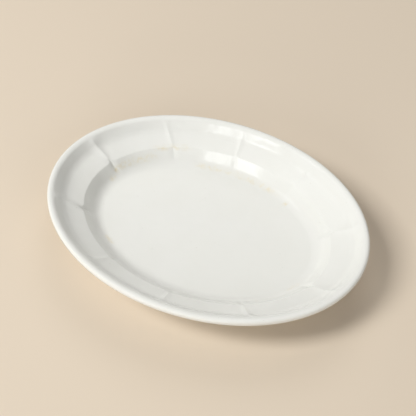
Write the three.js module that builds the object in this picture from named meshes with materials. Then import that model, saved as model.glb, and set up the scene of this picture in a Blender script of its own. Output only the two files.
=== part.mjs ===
// An oval serving dish of white glazed ironstone.
// The clay is pressed in one piece: a plain rounded lip, a rim of panels parted by ribs, a steep wall
// grooved below each rib, a flat floor and a foot ring. Glaze coats all of it but the foot's bare edge.
// Millimetres, +Z up, +X along the dish. The origin is the middle of the foot ring, on the table.
import * as THREE from "three";

const { clamp, degToRad, lerp, smoothstep } = THREE.MathUtils;

// Over the lip, glaze included
const LENGTH = 300;
const WIDTH = 214;

// The clay's section, where an inset is measured in from its outer edge
const CLAY_THICKNESS = 5.5;
const WELL_DEPTH = 32.5; // from the lip's top down to the floor
const LIP_TOP_WIDTH = 6; // of the lip's top, before its two edges are rounded
const LIP_EDGE_HEIGHT = 5; // of its outer side, likewise
const LIP_EDGE_RADIUS = 2.5;
const LIP_CROWN_RADIUS = 6;
const LIP_SLOPE = degToRad(55); // of the lip's inner side
const COVE_RADIUS = 16; // where the lip runs into the panels
const SHOULDER_DROP = 19; // of the edge where the rim turns down into the well, below the lip's top
const SHOULDER_RADIUS = 3;
const WALL_SLOPE = degToRad(52);
const WALL_FOOT_RADIUS = 10; // where the wall runs out into the floor
const UNDERSIDE_RADIUS = 8; // of the underside's bends

// Where the section at the dish's ends differs from that at its sides
const END_SHOULDER_INSET = 32;
const SIDE_SHOULDER_INSET = 26;
const END_PANEL_SLOPE = degToRad(22);
const SIDE_PANEL_SLOPE = degToRad(33);

// The foot ring
const FOOT_HEIGHT = 3;
const FOOT_WIDTH = 5;
const FOOT_SETBACK = 5; // in from the foot of the wall's outer face
const BARE_HEIGHT = 1; // of the foot ring's edge that is wiped clean of glaze

const GLAZE_THICKNESS = 0.3;

// The creases between panels: a rib on the rim, and below it a groove in the wall
const PANELS = 10;
const FIRST_CREASE = 0.25; // of the way round the oval, which is one end of its short axis
const END_RIB_HEIGHT = 2.8; // by the lip
const SIDE_RIB_HEIGHT = 1.6; // likewise
const RIB_HEIGHT_AT_SHOULDER = 0.9;
const RIB_HALF_WIDTH_AT_LIP = 14;
const RIB_HALF_WIDTH_AT_SHOULDER = 4;
const END_GROOVE_DEPTH = 2.5;
const SIDE_GROOVE_DEPTH = 1.2;
const GROOVE_HALF_WIDTH = 6;

// How finely the surfaces are divided
const SECTIONS_PER_PANEL = 10;
const CREASE_CROWDING = 0.8; // from 0, evenly spaced, towards 1, drawn in to the creases
const TOP_STEPS = 3; // along each bend
const UNDERSIDE_STEPS = 1;

const lengthRadius = LENGTH / 2 - GLAZE_THICKNESS;
const widthRadius = WIDTH / 2 - GLAZE_THICKNESS;
const underZ = FOOT_HEIGHT;
const floorZ = underZ + CLAY_THICKNESS;
const lipZ = floorZ + WELL_DEPTH;
const shoulderZ = lipZ - SHOULDER_DROP;

// A corner of the section: how far it lies outward of the clay's edge, its height, and how it is rounded.
function corner(outward, z, radius = 0, steps = 1) {
  return { at: new THREE.Vector2(outward, z), radius, steps };
}

function sides(before, here, after) {
  const inbound = here.at.clone().sub(before.at).normalize();
  const outbound = after.at.clone().sub(here.at).normalize();
  return { inbound, outbound };
}

// How much of its two sides a corner's rounding takes up.
function roundingReach(corners, i) {
  if (corners[i].radius === 0) return 0;
  const { inbound, outbound } = sides(corners[i - 1], corners[i], corners[i + 1]);
  const turn = Math.acos(clamp(inbound.dot(outbound), -1, 1));
  return corners[i].radius * Math.tan(turn / 2);
}

// The points of a section line through corners, where two roundings share the side between them.
function roundedLine(corners) {
  const wanted = corners.map((_, i) => roundingReach(corners, i));
  return corners.flatMap((here, i) => {
    if (wanted[i] === 0) return [here.at];
    const shares = [i - 1, i + 1].map(
      (k) => here.at.distanceTo(corners[k].at) / (wanted[i] + wanted[k]),
    );
    const reach = wanted[i] * Math.min(1, ...shares);
    const { inbound, outbound } = sides(corners[i - 1], here, corners[i + 1]);
    const start = here.at.clone().addScaledVector(inbound, -reach);
    const end = here.at.clone().addScaledVector(outbound, reach);
    return new THREE.QuadraticBezierCurve(start, here.at, end).getPoints(here.steps);
  });
}

// The corner that lies one clay thickness under a corner of the top, between sides parallel to its own.
function under(before, here, after) {
  const { inbound, outbound } = sides(before, here, after);
  const down = new THREE.Vector2(inbound.y + outbound.y, -inbound.x - outbound.x);
  down.multiplyScalar(CLAY_THICKNESS / (1 + inbound.dot(outbound)));
  return corner(here.at.x + down.x, here.at.y + down.y, UNDERSIDE_RADIUS, UNDERSIDE_STEPS);
}

// The section at the dish's ends or sides, in three lines: the face from the axis over the lip and down to
// the line on the foot ring where the glaze stops, the ring's bare edge, and the base inside it.
function sectionCorners(axisInset, shoulderInset, panelSlope) {
  const axis = corner(-axisInset, floorZ);
  const wallFootInset = shoulderInset + (shoulderZ - floorZ) / Math.tan(WALL_SLOPE);
  const panelRise = Math.tan(panelSlope);
  const lipRise = Math.tan(LIP_SLOPE);
  const coveRise = SHOULDER_DROP - (shoulderInset - LIP_TOP_WIDTH) * panelRise;
  const coveInset = LIP_TOP_WIDTH + coveRise / (lipRise - panelRise);
  const coveZ = lipZ - (coveInset - LIP_TOP_WIDTH) * lipRise;
  const wallFoot = corner(-wallFootInset, floorZ, WALL_FOOT_RADIUS, TOP_STEPS);
  const shoulder = corner(-shoulderInset, shoulderZ, SHOULDER_RADIUS, TOP_STEPS);
  const cove = corner(-coveInset, coveZ, COVE_RADIUS, TOP_STEPS);
  const lipCrown = corner(-LIP_TOP_WIDTH, lipZ, LIP_CROWN_RADIUS, TOP_STEPS);
  const lipEdge = corner(0, lipZ, LIP_EDGE_RADIUS, TOP_STEPS);

  const lipBottom = corner(0, lipZ - LIP_EDGE_HEIGHT, LIP_EDGE_RADIUS, UNDERSIDE_STEPS);
  const underCove = under(shoulder, cove, lipCrown);
  const underShoulder = under(wallFoot, shoulder, cove);
  const underWall = under(axis, wallFoot, shoulder);
  const footOuter = underWall.at.x - FOOT_SETBACK;
  const footInner = footOuter - FOOT_WIDTH;
  const footTop = corner(footOuter, underZ);

  const top = [axis, wallFoot, shoulder, cove, lipCrown, lipEdge];
  const underside = [lipBottom, underCove, underShoulder, underWall, footTop];
  return {
    face: [...top, ...underside, corner(footOuter, BARE_HEIGHT)],
    foot: [corner(footOuter, 0), corner(footInner, 0)],
    base: [corner(footInner, BARE_HEIGHT), corner(footInner, underZ), corner(-axisInset, underZ)],
  };
}

// The points of a section line, each with the way to a parallel line one millimetre out of the clay.
function section(corners) {
  const points = roundedLine(corners);
  const along = points.slice(1).map((next, i) => next.clone().sub(points[i]).normalize());
  return points.map((at, i) => {
    const inbound = along[Math.max(i - 1, 0)];
    const outbound = along[Math.min(i, along.length - 1)];
    const facing = new THREE.Vector2(-inbound.y - outbound.y, inbound.x + outbound.x);
    return { at, facing: facing.divideScalar(1 + inbound.dot(outbound)) };
  });
}

// The oval is walked by arc length, so that all panels are equally long at the lip.
const lipOval = new THREE.EllipseCurve(0, 0, lengthRadius, widthRadius);
lipOval.arcLengthDivisions = 2000;

function ovalAngle(panelsOn) {
  return 2 * Math.PI * lipOval.getUtoTmapping((FIRST_CREASE + panelsOn / PANELS) % 1);
}

// The angles of the oval at which sections stand, each with its share of a panel to the nearest crease.
const stations = [];
for (let panel = 0; panel < PANELS; panel++) {
  for (let step = 0; step < SECTIONS_PER_PANEL; step++) {
    const turn = (2 * Math.PI * step) / SECTIONS_PER_PANEL;
    const share = (turn - CREASE_CROWDING * Math.sin(turn)) / (2 * Math.PI);
    stations.push({ angle: ovalAngle(panel + share), creaseShare: Math.min(share, 1 - share) });
  }
}

// How far across the rim a place in the end section lies, and how fully ribs and grooves stand there.
// The lip's edge and the underside have none.
function creaseAt({ at, facing }) {
  const inset = -at.x;
  if (facing.y <= 0 || inset < LIP_EDGE_RADIUS) return { across: 0, rib: 0, groove: 0 };
  const belowCrown = smoothstep(inset, LIP_TOP_WIDTH, LIP_TOP_WIDTH + LIP_CROWN_RADIUS);
  const aboveWall = 1 - smoothstep(inset, END_SHOULDER_INSET, END_SHOULDER_INSET + SHOULDER_RADIUS);
  const belowRim = smoothstep(inset, END_SHOULDER_INSET - SHOULDER_RADIUS, END_SHOULDER_INSET);
  const aboveFloor = smoothstep(at.y, floorZ, shoulderZ);
  return {
    across: smoothstep(inset, LIP_TOP_WIDTH, END_SHOULDER_INSET),
    rib: belowCrown * aboveWall,
    groove: belowRim * aboveFloor,
  };
}

// How strongly a crease is felt at a distance from its line: a sharp ridge whose flanks run out softly.
function creaseStrength(distance, halfWidth) {
  return Math.max(0, 1 - distance / halfWidth) ** 2;
}

// One ring of points round the dish, at one place in its end and side sections. On its axis it is one point.
function ring(end, side, { across, rib, groove }) {
  if (end.x <= -lengthRadius) return Array(stations.length).fill(new THREE.Vector3(0, 0, end.y));
  const oval = new THREE.EllipseCurve(0, 0, lengthRadius + end.x, widthRadius + side.x);
  const panelLength = oval.getLength() / PANELS;
  const ribHalfWidth = lerp(RIB_HALF_WIDTH_AT_LIP, RIB_HALF_WIDTH_AT_SHOULDER, across);
  return stations.map(({ angle, creaseShare }) => {
    const between = (atEnd, atSide) => lerp(atEnd, atSide, Math.sin(angle) ** 2);
    const ribHeight = lerp(between(END_RIB_HEIGHT, SIDE_RIB_HEIGHT), RIB_HEIGHT_AT_SHOULDER, across);
    const grooveDepth = between(END_GROOVE_DEPTH, SIDE_GROOVE_DEPTH);
    const apart = creaseShare * panelLength;
    const up = rib * ribHeight * creaseStrength(apart, ribHalfWidth);
    const outward = groove * grooveDepth * creaseStrength(apart, GROOVE_HALF_WIDTH);
    return new THREE.Vector3(
      (lengthRadius + end.x + outward) * Math.cos(angle),
      (widthRadius + side.x + outward) * Math.sin(angle),
      between(end.y, side.y) + up,
    );
  });
}

// The rings of a section line that stands off the clay.
function rings({ ends, sides }, standOff) {
  const stoodOff = ({ at, facing }) => at.clone().addScaledVector(facing, standOff);
  return ends.map((end, i) => ring(stoodOff(end), stoodOff(sides[i]), creaseAt(end)));
}

// The triangles between rings, which face up where the rings go outward.
function surface(ringList) {
  const triangles = [];
  for (let i = 1; i < ringList.length; i++) {
    const [last, next] = [ringList[i - 1], ringList[i]];
    for (let j = 0; j < stations.length; j++) {
      const k = (j + 1) % stations.length;
      triangles.push([last[j], next[j], next[k]], [last[j], next[k], last[k]]);
    }
  }
  return triangles.filter(([a, b, c]) => a !== b && b !== c && c !== a);
}

function turnedOver(triangles) {
  return triangles.map(([a, b, c]) => [c, b, a]);
}

function mesh(name, triangles, material) {
  const geometry = new THREE.BufferGeometry().setFromPoints(triangles.flat());
  geometry.computeVertexNormals();
  const made = new THREE.Mesh(geometry, material);
  made.name = name;
  return made;
}

const endCorners = sectionCorners(lengthRadius, END_SHOULDER_INSET, END_PANEL_SLOPE);
const sideCorners = sectionCorners(widthRadius, SIDE_SHOULDER_INSET, SIDE_PANEL_SLOPE);

function sectionPair(line) {
  return { ends: section(endCorners[line]), sides: section(sideCorners[line]) };
}

const [faceSection, footSection, baseSection] = ["face", "foot", "base"].map(sectionPair);

// The clay body, closed over its floor, round its lip, under its foot ring and across its base
function clayBody() {
  const around = [faceSection, footSection, baseSection].flatMap((line) => rings(line, 0));
  const material = new THREE.MeshStandardMaterial({ color: 0xe8e0d0, roughness: 0.85, metalness: 0 });
  return mesh("clay_body", surface(around), material);
}

// A coat of glaze on one section of the clay, from the dish's axis to the line where the glaze stops
function glazeCoat(name, line, fromAxis) {
  const clay = rings(line, 0);
  const glazed = rings(line, GLAZE_THICKNESS);
  const end = fromAxis ? [glazed.at(-1), clay.at(-1)] : [clay[0], glazed[0]];
  const triangles = [...surface(glazed), ...surface(end), ...turnedOver(surface(clay))];
  const material = new THREE.MeshStandardMaterial({ color: 0xecebe3, roughness: 0.12, metalness: 0 });
  return mesh(name, triangles, material);
}

const dish = new THREE.Group();
dish.add(
  clayBody(),
  glazeCoat("face_glaze", faceSection, true),
  glazeCoat("base_glaze", baseSection, false),
);

export default dish;
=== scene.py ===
import math

import bpy
import numpy as np
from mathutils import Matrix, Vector


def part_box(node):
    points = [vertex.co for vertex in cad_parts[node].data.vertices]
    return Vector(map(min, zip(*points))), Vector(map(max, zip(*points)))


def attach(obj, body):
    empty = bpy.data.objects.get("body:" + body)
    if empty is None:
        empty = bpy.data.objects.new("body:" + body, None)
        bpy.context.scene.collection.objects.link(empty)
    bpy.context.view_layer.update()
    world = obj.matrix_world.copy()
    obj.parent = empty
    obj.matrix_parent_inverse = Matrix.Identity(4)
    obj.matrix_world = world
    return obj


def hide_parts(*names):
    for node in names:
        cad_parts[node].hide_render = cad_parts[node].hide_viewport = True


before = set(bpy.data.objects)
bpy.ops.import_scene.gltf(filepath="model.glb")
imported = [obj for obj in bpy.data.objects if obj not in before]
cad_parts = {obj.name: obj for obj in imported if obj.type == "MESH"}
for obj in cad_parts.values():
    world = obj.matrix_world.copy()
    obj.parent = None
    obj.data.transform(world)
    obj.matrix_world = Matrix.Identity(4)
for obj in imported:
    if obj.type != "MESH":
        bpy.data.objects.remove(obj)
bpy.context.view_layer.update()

# The clay body
# White-firing clay, pressed over a mould in one piece: lip, rim, wall, floor and foot ring together.
# Only the edge of its foot ring shows, where the glaze is wiped off so that it can't stick in the kiln.
MM = 0.001
GLAZE_THICKNESS = 0.3
CLAY_THICKNESS = 5.5
LIP_TOP_WIDTH = 5.2
LIP_EDGE_HEIGHT = 5
LIP_EDGE_RADIUS = 2.5
LIP_CROWN_RADIUS = 5
LIP_SLOPE = math.radians(55)
COVE_RADIUS = 16
SHOULDER_DROP = 19
SHOULDER_RADIUS = 3
WALL_SLOPE = math.radians(52)
WALL_FOOT_RADIUS = 14
FLOOR_MARGIN = 1
END_SHOULDER_INSET, SIDE_SHOULDER_INSET = 32, 26
END_PANEL_SLOPE, SIDE_PANEL_SLOPE = math.radians(22), math.radians(33)
UNDERSIDE_RADIUS = 8
FOOT_HEIGHT = 3
FOOT_WIDTH = 5
FOOT_SETBACK = 5
FOOT_EDGE_RADIUS = 0.8
BARE_HEIGHT = 1
ARC_STEPS, STRAIGHT_STEPS = 8, 3

glaze_low, glaze_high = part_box("face_glaze")
length_radius = (glaze_high.x - glaze_low.x) / 2 / MM - GLAZE_THICKNESS
width_radius = (glaze_high.y - glaze_low.y) / 2 / MM - GLAZE_THICKNESS
lip_z = glaze_high.z / MM - GLAZE_THICKNESS
under_z = FOOT_HEIGHT
floor_z = under_z + CLAY_THICKNESS
shoulder_z = lip_z - SHOULDER_DROP


def corner(outward, z, radius=0.0):
    return np.array([outward, z]), radius


def sides(corners, i):
    """The directions of a section line before and after one of its corners."""
    inbound = corners[i][0] - corners[i - 1][0]
    outbound = corners[i + 1][0] - corners[i][0]
    return inbound / np.linalg.norm(inbound), outbound / np.linalg.norm(outbound)


def rounded_line(corners):
    """Points along a section line through corners, where two roundings share the side between them."""
    inner = range(1, len(corners) - 1)
    turns = [0, *(math.acos(np.clip(np.dot(*sides(corners, i)), -1, 1)) for i in inner), 0]
    wanted = [radius * math.tan(turn / 2) for (_, radius), turn in zip(corners, turns)]
    points = [corners[0][0]]
    for i in inner:
        at, radius = corners[i]
        inbound, outbound = sides(corners, i)
        across = outbound - inbound * (inbound @ outbound)
        across /= np.linalg.norm(across)
        for k in (i - 1, i + 1):
            if wanted[i]:
                radius *= min(1, np.linalg.norm(corners[k][0] - at) / (wanted[i] + wanted[k]))
        start = at - inbound * radius * math.tan(turns[i] / 2)
        parts = np.arange(1, STRAIGHT_STEPS)[:, None] / STRAIGHT_STEPS
        points += list(points[-1] + (start - points[-1]) * parts)
        for bend in np.linspace(0, turns[i], ARC_STEPS + 1 if radius else 1):
            points.append(start + radius * (math.sin(bend) * inbound + (1 - math.cos(bend)) * across))
    return np.array([*points, corners[-1][0]])


def under(corners, i):
    """The corner one clay thickness under a corner of the top, between sides parallel to its own."""
    inbound, outbound = sides(corners, i)
    down = np.array([inbound[1] + outbound[1], -inbound[0] - outbound[0]])
    place = corners[i][0] + down * CLAY_THICKNESS / (1 + inbound @ outbound)
    return corner(*place, UNDERSIDE_RADIUS)


def section_lines(shoulder_inset, panel_slope):
    """The section of the clay at its ends or sides, as lines over its face, its foot and its base."""
    panel_rise, lip_rise = math.tan(panel_slope), math.tan(LIP_SLOPE)
    cove_rise = SHOULDER_DROP - (shoulder_inset - LIP_TOP_WIDTH) * panel_rise
    cove_inset = LIP_TOP_WIDTH + cove_rise / (lip_rise - panel_rise)
    wall_foot_inset = shoulder_inset + (shoulder_z - floor_z) / math.tan(WALL_SLOPE)
    floor_inset = wall_foot_inset + WALL_FOOT_RADIUS * math.tan(WALL_SLOPE / 2) + FLOOR_MARGIN
    top = [
        corner(-floor_inset, floor_z),
        corner(-wall_foot_inset, floor_z, WALL_FOOT_RADIUS),
        corner(-shoulder_inset, shoulder_z, SHOULDER_RADIUS),
        corner(-cove_inset, lip_z - (cove_inset - LIP_TOP_WIDTH) * lip_rise, COVE_RADIUS),
        corner(-LIP_TOP_WIDTH, lip_z, LIP_CROWN_RADIUS),
        corner(0, lip_z, LIP_EDGE_RADIUS),
    ]
    lip_bottom = corner(0, lip_z - LIP_EDGE_HEIGHT, LIP_EDGE_RADIUS)
    under_cove, under_shoulder, under_wall = (under(top, i) for i in (3, 2, 1))
    foot_outer = under_wall[0][0] - FOOT_SETBACK
    foot_inner = foot_outer - FOOT_WIDTH
    foot_top = corner(foot_outer, under_z, FOOT_EDGE_RADIUS)
    outer_glaze_line = corner(foot_outer, BARE_HEIGHT)
    inner_glaze_line = corner(foot_inner, BARE_HEIGHT)
    foot = [corner(foot_outer, 0, FOOT_EDGE_RADIUS), corner(foot_inner, 0, FOOT_EDGE_RADIUS)]
    base_edge = corner(foot_inner, under_z, FOOT_EDGE_RADIUS)
    underside = [lip_bottom, under_cove, under_shoulder, under_wall, foot_top, outer_glaze_line]
    return [
        rounded_line([*top, *underside]),
        rounded_line([outer_glaze_line, *foot, inner_glaze_line]),
        rounded_line([inner_glaze_line, base_edge, corner(foot_inner - FOOT_WIDTH, under_z)]),
    ]


face_lines, foot_lines, base_lines = zip(
    section_lines(END_SHOULDER_INSET, END_PANEL_SLOPE),
    section_lines(SIDE_SHOULDER_INSET, SIDE_PANEL_SLOPE),
)

PANELS = 10
SECTIONS_PER_PANEL = 40
CREASE_CROWDING = 0.75
END_RIB_HEIGHT, SIDE_RIB_HEIGHT = 2.6, 1.0
RIB_HEIGHT_AT_SHOULDER = 0.6
END_RIB_HALF_WIDTH, SIDE_RIB_HALF_WIDTH = 13, 7
RIB_HALF_WIDTH_AT_SHOULDER = 4
END_GROOVE_DEPTH, SIDE_GROOVE_DEPTH = 2.5, 0.9
GROOVE_HALF_WIDTH = 6
CREASE_SOFTNESS = 0.5
SIDE_SHAPE_FROM = 0.8
FIRST_CREASE = 0.25
OVAL_STEPS = 20000
FLAT_RINGS = 6
SHARP_EDGE = math.radians(50)


def smooth(x, low, high):
    x = np.clip((x - low) / (high - low), 0, 1)
    return x * x * (3 - 2 * x)


def between(one, other, share):
    return one + (other - one) * share


# The sections stand closer together near the creases. All panels are equally long at the lip, and the
# first crease is a quarter of the way round from an end of the dish, on its short axis.
fine_angle = np.linspace(0, 2 * math.pi, OVAL_STEPS + 1)
speed = np.hypot(length_radius * np.sin(fine_angle), width_radius * np.cos(fine_angle))
fine_length = np.concatenate([[0], np.cumsum((speed[1:] + speed[:-1]) / 2)])
turn = np.arange(SECTIONS_PER_PANEL) / SECTIONS_PER_PANEL * 2 * math.pi
panel_number = np.repeat(np.arange(PANELS), SECTIONS_PER_PANEL)
share = np.tile((turn - CREASE_CROWDING * np.sin(turn)) / (2 * math.pi), PANELS)
way_round = (panel_number + share) / PANELS
angle = np.interp((FIRST_CREASE + way_round) % 1 * fine_length[-1], fine_length, fine_angle)
towards_side = np.sin(angle) ** 2
by_side = smooth(towards_side, 0, SIDE_SHAPE_FROM)
crease_share = np.minimum(share, 1 - share)


def facing(line):
    """At each point of a section line, the way to a parallel line one millimetre out of the clay."""
    along = np.diff(line, axis=0)
    along /= np.linalg.norm(along, axis=1, keepdims=True)
    inbound, outbound = np.vstack([along[:1], along]), np.vstack([along, along[-1:]])
    out = np.stack([-inbound[:, 1] - outbound[:, 1], inbound[:, 0] + outbound[:, 0]], axis=1)
    return out / (1 + np.sum(inbound * outbound, axis=1, keepdims=True))


def crease_strength(apart, half_width):
    """How strongly a crease is felt at a distance: a narrow ridge whose flanks run out softly."""
    rest = np.maximum(0, 1 - np.hypot(apart, CREASE_SOFTNESS) / half_width)
    return (rest / (1 - CREASE_SOFTNESS / half_width)) ** 2


def rings(lines, stand_off=0.0):
    """Rings of points round the dish, for section lines at its ends and sides that stand off the clay."""
    end_line, side_line = (line + facing(line) * stand_off for line in lines)
    inset, height = -lines[0][:, :1], lines[0][:, 1:]
    on_top = (facing(lines[0])[:, 1:] > 0) & (inset > LIP_EDGE_RADIUS)
    across = smooth(inset, LIP_TOP_WIDTH, END_SHOULDER_INSET)
    below_crown = smooth(inset, LIP_TOP_WIDTH, LIP_TOP_WIDTH + LIP_CROWN_RADIUS)
    above_wall = 1 - smooth(inset, END_SHOULDER_INSET, END_SHOULDER_INSET + SHOULDER_RADIUS)
    below_rim = smooth(inset, END_SHOULDER_INSET - SHOULDER_RADIUS, END_SHOULDER_INSET)
    above_floor = smooth(height, floor_z, shoulder_z)
    rib = between(between(END_RIB_HEIGHT, SIDE_RIB_HEIGHT, by_side), RIB_HEIGHT_AT_SHOULDER, across)
    rib = rib * below_crown * above_wall * on_top
    rib_half_width = between(END_RIB_HALF_WIDTH, SIDE_RIB_HALF_WIDTH, by_side)
    rib_half_width = between(rib_half_width, RIB_HALF_WIDTH_AT_SHOULDER, across)
    groove = between(END_GROOVE_DEPTH, SIDE_GROOVE_DEPTH, by_side) * below_rim * above_floor * on_top
    a, b = length_radius + end_line[:, :1], width_radius + side_line[:, :1]
    panel_length = math.pi * (3 * (a + b) - np.sqrt((3 * a + b) * (a + 3 * b))) / PANELS
    apart = crease_share * panel_length
    outward = groove * crease_strength(apart, GROOVE_HALF_WIDTH)
    z = between(end_line[:, 1:], side_line[:, 1:], towards_side)
    z = z + rib * crease_strength(apart, rib_half_width)
    return np.stack([(a + outward) * np.cos(angle), (b + outward) * np.sin(angle), z], axis=2)


def drawn_in(ring):
    """Rings that draw a flat ring in towards the dish's axis, from the innermost one outward."""
    scales = np.arange(1, FLAT_RINGS) / FLAT_RINGS
    return np.array([ring * [s, s, 1] for s in scales])


def closed_piece(name, ring_list):
    """A closed mesh over rings, with one point on the dish's axis at each end."""
    count = len(angle)
    ends = [[0, 0, ring_list[0][0][2]], [0, 0, ring_list[-1][0][2]]]
    points = np.vstack([np.reshape(ring_list, (-1, 3)), ends]) * MM
    first, last = len(points) - 2, len(points) - 1
    j = np.arange(count)
    k = (j + 1) % count
    faces = [(first, p, q) for p, q in zip(j, k)]
    for i in range(len(ring_list) - 1):
        faces += list(zip(i * count + j, (i + 1) * count + j, (i + 1) * count + k, i * count + k))
    tail = (len(ring_list) - 1) * count
    faces += [(tail + p, last, tail + q) for p, q in zip(j, k)]
    mesh = bpy.data.meshes.new(name)
    mesh.from_pydata(points.tolist(), [], [tuple(int(v) for v in f) for f in faces])
    mesh.polygons.foreach_set("use_smooth", [True] * len(mesh.polygons))
    mesh.set_sharp_from_angle(angle=SHARP_EDGE)
    piece = bpy.data.objects.new(name, mesh)
    bpy.context.scene.collection.objects.link(piece)
    return piece


clay_face, clay_foot, clay_base = rings(face_lines), rings(foot_lines), rings(base_lines)
clay_rings = [
    *drawn_in(clay_face[0]), *clay_face,
    *clay_foot[1:], *clay_base[1:], *drawn_in(clay_base[-1])[::-1],
]
clay = closed_piece("pressed_clay", clay_rings)


class Nodes:
    """A material's node tree, filled one node at a time."""

    def __init__(self, name):
        self.material = bpy.data.materials.new(name)
        self.material.use_nodes = True
        self.tree = self.material.node_tree
        self.shader = self.tree.nodes["Principled BSDF"]
        self.place = self.add("ShaderNodeTexCoord").outputs["Object"]

    def add(self, kind, **settings):
        node = self.tree.nodes.new(kind)
        for key, value in settings.items():
            setattr(node, key, value)
        return node

    def link(self, source, target):
        self.tree.links.new(source, target)

    def noise(self, per_metre, detail=3.0):
        node = self.add("ShaderNodeTexNoise")
        node.inputs["Scale"].default_value = per_metre
        node.inputs["Detail"].default_value = detail
        self.link(self.place, node.inputs["Vector"])
        return node.outputs["Fac"]

    def span(self, value, low, high, to_low=0.0, to_high=1.0):
        node = self.add("ShaderNodeMapRange", interpolation_type="SMOOTHSTEP")
        limits = {"From Min": low, "From Max": high, "To Min": to_low, "To Max": to_high}
        for name, number in limits.items():
            node.inputs[name].default_value = number
        self.link(value, node.inputs["Value"])
        return node.outputs["Result"]

    def times(self, one, other):
        node = self.add("ShaderNodeMath", operation="MULTIPLY")
        self.link(one, node.inputs[0])
        self.link(other, node.inputs[1])
        return node.outputs["Value"]

    def mix(self, share, one, other):
        """A blend of two colours, which the node keeps in inputs 6 and 7, with the result in output 2."""
        node = self.add("ShaderNodeMix", data_type="RGBA")
        self.link(share, node.inputs["Factor"])
        for socket, value in zip((node.inputs[6], node.inputs[7]), (one, other)):
            if isinstance(value, tuple):
                socket.default_value = (*value, 1.0)
            else:
                self.link(value, socket)
        return node.outputs[2]

    def bump(self, height, distance, strength=1.0):
        node = self.add("ShaderNodeBump")
        node.inputs["Distance"].default_value = distance
        node.inputs["Strength"].default_value = strength
        self.link(height, node.inputs["Height"])
        return node.outputs["Normal"]


FIRED_CLAY = (0.78, 0.72, 0.60)
WORN_CLAY = (0.66, 0.59, 0.47)
CLAY_GRAIN = (0.45, 0.38, 0.29)
GRAINS_PER_METRE, WORN_PATCHES_PER_METRE = 1400, 45
GRAIN_HEIGHT = 0.2 * MM
CLAY_ROUGHNESS = 0.85


def bare_clay():
    nodes = Nodes("bare_clay")
    grain = nodes.noise(GRAINS_PER_METRE, detail=4)
    patches = nodes.noise(WORN_PATCHES_PER_METRE)
    worn = nodes.mix(nodes.span(patches, 0.35, 0.7), FIRED_CLAY, WORN_CLAY)
    colour = nodes.mix(nodes.span(grain, 0.62, 0.75), worn, CLAY_GRAIN)
    nodes.link(colour, nodes.shader.inputs["Base Color"])
    nodes.link(nodes.bump(grain, GRAIN_HEIGHT), nodes.shader.inputs["Normal"])
    nodes.shader.inputs["Roughness"].default_value = CLAY_ROUGHNESS
    return nodes.material


clay.data.materials.append(bare_clay())
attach(clay, "root")
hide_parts("clay_body")

# The glaze of the face
# A glossy warm white glaze, dipped on and fired over the floor, wall, rim, lip and underside.
# It ends on the side of the foot ring. Long use has left faint tea-coloured stains round the wall.
glazed_face_rings = rings(face_lines, GLAZE_THICKNESS)
flat_floor = drawn_in(glazed_face_rings[0])
face_shell = [
    *flat_floor, *glazed_face_rings,
    *clay_face[::-1], *drawn_in(clay_face[0])[::-1],
]
face = closed_piece("glazed_face", face_shell)

# Each stain lies at a share of the way round, counted from one end of the short axis, and at a depth in
# millimetres inward of the shoulder: way round, half width, depth, half depth, strength.
STAINS = [
    (0.165, 0.045, 5.0, 2.0, 0.42),
    (0.200, 0.005, 6.5, 1.6, 1.0),
    (0.213, 0.008, 9.0, 2.0, 0.45),
    (0.100, 0.036, 0.0, 0.7, 0.6),
    (0.030, 0.042, 11.5, 2.2, 0.4),
    (0.960, 0.060, 11.5, 2.2, 0.45),
    (0.889, 0.005, 14.0, 2.4, 0.8),
    (0.353, 0.014, 14.0, 2.0, 0.4),
    (0.690, 0.016, 11.5, 2.2, 0.2),
]
past_shoulder = -face_lines[0][:, :1] - END_SHOULDER_INSET
upward = facing(face_lines[0])[:, 1:] > 0
stained = np.zeros((len(past_shoulder), len(angle)))
for at, half_width, depth, half_depth, strength in STAINS:
    apart = np.abs((way_round - at + 0.5) % 1 - 0.5)
    along_wall = 1 - smooth(apart, half_width / 2, half_width)
    down_wall = np.exp(-((past_shoulder - depth) / half_depth) ** 2)
    stained = np.maximum(stained, strength * down_wall * along_wall * upward)
stain = np.zeros(len(face.data.vertices))
first_stained = len(flat_floor) * len(angle)
stain[first_stained:first_stained + stained.size] = stained.ravel()
face.data.attributes.new("stain", "FLOAT", "POINT").data.foreach_set("value", stain)

WARM_WHITE = (0.85, 0.848, 0.81)
CREAM_WHITE = (0.84, 0.838, 0.795)
TEA_STAIN = (0.75, 0.60, 0.26)
IRON_SPECK = (0.45, 0.40, 0.32)
CLOUDS_PER_METRE, STAIN_SPOTS_PER_METRE, SPECKS_PER_METRE = 22, 260, 520
GLOSS_PATCHES_PER_METRE, WAVES_PER_METRE = 60, 65
GLAZE_ROUGHNESS_RANGE = (0.10, 0.17)
WAVE_HEIGHT, WAVE_STRENGTH = 0.9 * MM, 0.6
GLAZE_IOR = 1.52


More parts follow.
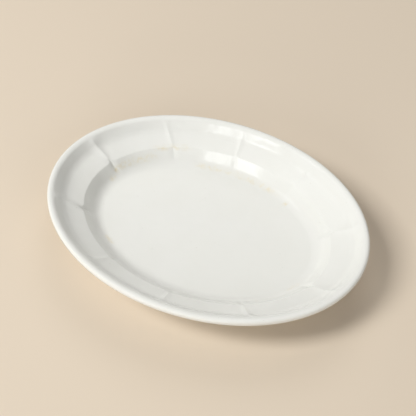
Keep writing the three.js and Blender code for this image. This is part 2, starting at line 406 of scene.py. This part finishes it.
def white_glaze(with_stains):
    nodes = Nodes("stained_white_glaze" if with_stains else "white_glaze")
    clouds = nodes.span(nodes.noise(CLOUDS_PER_METRE, detail=2), 0.3, 0.7)
    colour = nodes.mix(clouds, WARM_WHITE, CREAM_WHITE)
    if with_stains:
        place = nodes.add("ShaderNodeAttribute", attribute_name="stain").outputs["Fac"]
        spots = nodes.span(nodes.noise(STAIN_SPOTS_PER_METRE, detail=2), 0.40, 0.68, 0.15, 0.7)
        colour = nodes.mix(nodes.times(place, spots), colour, TEA_STAIN)
    specks = nodes.span(nodes.noise(SPECKS_PER_METRE, detail=1), 0.78, 0.82, 0.0, 0.35)
    colour = nodes.mix(specks, colour, IRON_SPECK)
    nodes.link(colour, nodes.shader.inputs["Base Color"])
    roughness = nodes.span(nodes.noise(GLOSS_PATCHES_PER_METRE), 0.3, 0.7, *GLAZE_ROUGHNESS_RANGE)
    nodes.link(roughness, nodes.shader.inputs["Roughness"])
    waves = nodes.bump(nodes.noise(WAVES_PER_METRE, detail=1), WAVE_HEIGHT, WAVE_STRENGTH)
    nodes.link(waves, nodes.shader.inputs["Normal"])
    nodes.shader.inputs["IOR"].default_value = GLAZE_IOR
    return nodes.material


face.data.materials.append(white_glaze(with_stains=True))
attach(face, "root")
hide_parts("face_glaze")

# The glaze of the base
# The same glaze inside the foot ring, dipped and fired with the face, where the base stands clear of
# the table. It ends on the ring's inner side.
glazed_base_rings = rings(base_lines, GLAZE_THICKNESS)
base_shell = [
    *drawn_in(clay_base[-1]), *clay_base[::-1],
    *glazed_base_rings, *drawn_in(glazed_base_rings[-1])[::-1],
]
base = closed_piece("glazed_base", base_shell)
base.data.materials.append(white_glaze(with_stains=False))
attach(base, "root")
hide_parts("base_glaze")

# The table
# A plain pale surface in a warm sand colour, without gloss. The dish stands on it with its foot ring.
TABLE_SIDE = 6.0
TABLE_COLOUR = (0.735, 0.632, 0.51)
TABLE_ROUGHNESS = 0.9
TABLE_SPECULAR = 0.1
table_mesh = bpy.data.meshes.new("table")
half = TABLE_SIDE / 2
table_corners = [(-half, -half, 0), (half, -half, 0), (half, half, 0), (-half, half, 0)]
table_mesh.from_pydata(table_corners, [], [(0, 1, 2, 3)])
table = bpy.data.objects.new("table", table_mesh)
bpy.context.scene.collection.objects.link(table)
table_finish = Nodes("pale_table")
table_finish.shader.inputs["Base Color"].default_value = (*TABLE_COLOUR, 1)
table_finish.shader.inputs["Roughness"].default_value = TABLE_ROUGHNESS
table_finish.shader.inputs["Specular IOR Level"].default_value = TABLE_SPECULAR
table.data.materials.append(table_finish.material)

# The camera
# It looks down at the dish across its long side, turned a little towards one end.
CAMERA_AZIMUTH = math.radians(22.1)
CAMERA_ELEVATION = math.radians(54.7)
CAMERA_DISTANCE = 0.67
IMAGE_SIDE = 416
FOCAL_PIXELS = 746
SENSOR_WIDTH = 36
LIP_CENTRE_PIXEL = (204.9, 208.4)


def seen(right, away, up):
    """A direction in the dish's frame, given as the camera's viewer would point it out."""
    sine, cosine = math.sin(CAMERA_AZIMUTH), math.cos(CAMERA_AZIMUTH)
    return Vector((right * cosine - away * sine, right * sine + away * cosine, up))


lip_centre = Vector((0, 0, lip_z * MM))
camera = bpy.data.objects.new("camera", bpy.data.cameras.new("camera"))
towards = seen(0, -math.cos(CAMERA_ELEVATION), math.sin(CAMERA_ELEVATION))
camera.location = lip_centre + towards * CAMERA_DISTANCE
camera.rotation_euler = (-towards).to_track_quat("-Z", "Y").to_euler()
camera.data.sensor_width = SENSOR_WIDTH
camera.data.lens = FOCAL_PIXELS * SENSOR_WIDTH / IMAGE_SIDE
camera.data.shift_x = (IMAGE_SIDE / 2 - LIP_CENTRE_PIXEL[0]) / IMAGE_SIDE
camera.data.shift_y = (LIP_CENTRE_PIXEL[1] - IMAGE_SIDE / 2) / IMAGE_SIDE
bpy.context.scene.collection.objects.link(camera)
bpy.context.scene.camera = camera

# The light
# A large soft panel on the left and weaker ones in front, behind and at the right end light the dish
# evenly. The glaze mirrors only the windows: two panes and a low one in front, and one on the left.
LAMP_DISTANCE = 2.6
WHITE = (1.0, 1.0, 1.0)
FAINTLY_WARM = (1.0, 1.0, 0.99)
DAYLIGHT = (0.95, 0.98, 1.0)
ROOM_COLOUR = (1.0, 0.975, 0.935)
ROOM_STRENGTH = 0.18


def area_light(name, azimuth, elevation, size, radiance, colour=WHITE, mirrored=True):
    """A lamp facing the dish, at azimuth 0 on the viewer's right, 90 behind it and 180 on the left."""
    lamp = bpy.data.lights.new(name, "AREA")
    lamp.shape = "RECTANGLE"
    lamp.size, lamp.size_y = size
    lamp.energy = radiance * math.pi * lamp.size * lamp.size_y
    lamp.color = colour
    azimuth, elevation = math.radians(azimuth), math.radians(elevation)
    flat = math.cos(elevation)
    way = seen(flat * math.cos(azimuth), flat * math.sin(azimuth), math.sin(elevation))
    light = bpy.data.objects.new(name, lamp)
    light.location = lip_centre + way * LAMP_DISTANCE
    light.rotation_euler = way.to_track_quat("Z", "Y").to_euler()
    light.visible_glossy = mirrored
    bpy.context.scene.collection.objects.link(light)


area_light("key_panel", 188, 50, (0.75, 1.1), 18.4, FAINTLY_WARM, mirrored=False)
area_light("window_left_pane", 227, 26, (0.58, 0.62), 3.9, DAYLIGHT)
area_light("window_right_pane", 243, 24, (0.42, 0.5), 3.9, DAYLIGHT)
area_light("low_window", 258, 11, (0.8, 0.5), 7.6)
area_light("side_window", 200, 40, (0.62, 0.62), 1.2)
area_light("front_panel", 305, 32, (1.2, 1.2), 2.0, mirrored=False)
area_light("back_panel", 80, 42, (1.3, 1.2), 2.9, mirrored=False)
area_light("end_panel", 25, 40, (1.2, 1.2), 0.3, mirrored=False)
world = bpy.data.worlds.new("pale_room")
world.use_nodes = True
world.node_tree.nodes["Background"].inputs["Color"].default_value = (*ROOM_COLOUR, 1)
world.node_tree.nodes["Background"].inputs["Strength"].default_value = ROOM_STRENGTH
bpy.context.scene.world = world
bpy.context.scene.view_settings.view_transform = "Standard"
